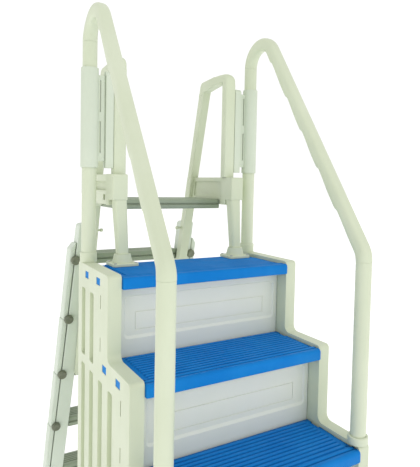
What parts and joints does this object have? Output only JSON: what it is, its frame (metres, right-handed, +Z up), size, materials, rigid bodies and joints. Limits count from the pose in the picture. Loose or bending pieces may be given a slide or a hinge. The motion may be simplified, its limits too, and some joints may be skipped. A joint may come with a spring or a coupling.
{
  "type": "pool ladder",
  "caption": "Above-ground pool entry: in-pool stair with handrails, joined over the wall by a platform frame to an outside step section that lifts and locks.",
  "frame": {"origin": "middle of the footprint at ground level", "axes": "+X across the stair, +Y away from the pool towards the outside ladder, +Z up"},
  "size_m": [0.714, 1.8214, 2.11],
  "materials": {
    "ivory_plastic": "satin moulded",
    "blue_tread": "satin moulded, ribbed",
    "riser_plastic": "satin moulded",
    "grey_green_plastic": "satin moulded, ribbed",
    "pad_rubber": "matte",
    "screw_steel": "stainless",
    "pin_plastic": "satin moulded"
  },
  "bodies": {
    "frame": {"side_panel_left": "ivory_plastic", "side_panel_right": "ivory_plastic", "stair_tread_1": "blue_tread", "riser_1": "riser_plastic", "stair_tread_2": "blue_tread", "riser_2": "riser_plastic", "stair_tread_3": "blue_tread", "riser_3": "riser_plastic", "stair_tread_4": "blue_tread", "riser_4": "riser_plastic", "stair_tread_5": "blue_tread", "riser_5": "riser_plastic", "rear_brace_1": "ivory_plastic", "rear_brace_2": "ivory_plastic", "base_pads": "pad_rubber", "handrail_left": "ivory_plastic", "handrail_right": "ivory_plastic", "back_post_left": "ivory_plastic", "back_post_right": "ivory_plastic", "front_post_left": "ivory_plastic", "front_post_right": "ivory_plastic", "back_socket_left": "ivory_plastic", "back_socket_right": "ivory_plastic", "front_socket_left": "ivory_plastic", "front_socket_right": "ivory_plastic", "connector_sleeve_left": "ivory_plastic", "connector_sleeve_right": "ivory_plastic", "slide_channel_left": "ivory_plastic", "slide_channel_right": "ivory_plastic", "frame_upright_left": "ivory_plastic", "frame_upright_right": "ivory_plastic", "corner_elbow_left": "ivory_plastic", "corner_elbow_right": "ivory_plastic", "grab_handle_left": "ivory_plastic", "grab_handle_right": "ivory_plastic", "platform_bracket_left": "ivory_plastic", "platform_bracket_right": "ivory_plastic", "deck_leg_left": "ivory_plastic", "deck_leg_right": "ivory_plastic", "deck_flange_left": "ivory_plastic", "deck_flange_right": "ivory_plastic", "flange_screws": "screw_steel", "platform_tread": "grey_green_plastic", "guide_rail_left": "ivory_plastic", "guide_rail_right": "ivory_plastic"},
    "step_section": {"step_rail_left": "ivory_plastic", "rail_covers_left": "ivory_plastic", "step_knobs_left": "grey_green_plastic", "rail_foot_left": "pad_rubber", "step_rail_right": "ivory_plastic", "rail_covers_right": "ivory_plastic", "step_knobs_right": "grey_green_plastic", "rail_foot_right": "pad_rubber", "ladder_tread_1": "grey_green_plastic", "ladder_tread_2": "grey_green_plastic", "ladder_tread_3": "grey_green_plastic", "ladder_tread_4": "grey_green_plastic", "ladder_tread_5": "grey_green_plastic"},
    "lock_pin_left": {"lock_pin_left": "pin_plastic"},
    "lock_pin_right": {"lock_pin_right": "pin_plastic"}
  },
  "joints": [
    {"name": "step_section_slide", "type": "slide", "parent": "frame", "child": "step_section", "axis": [0, -0.2607, 0.9654], "range_m": [0, 0.4]},
    {"name": "lock_pin_left_slide", "type": "slide", "parent": "frame", "child": "lock_pin_left", "axis": [-1, 0, 0], "range_m": [0, 0.013]},
    {"name": "lock_pin_right_slide", "type": "slide", "parent": "frame", "child": "lock_pin_right", "axis": [1, 0, 0], "range_m": [0, 0.013]}
  ]
}
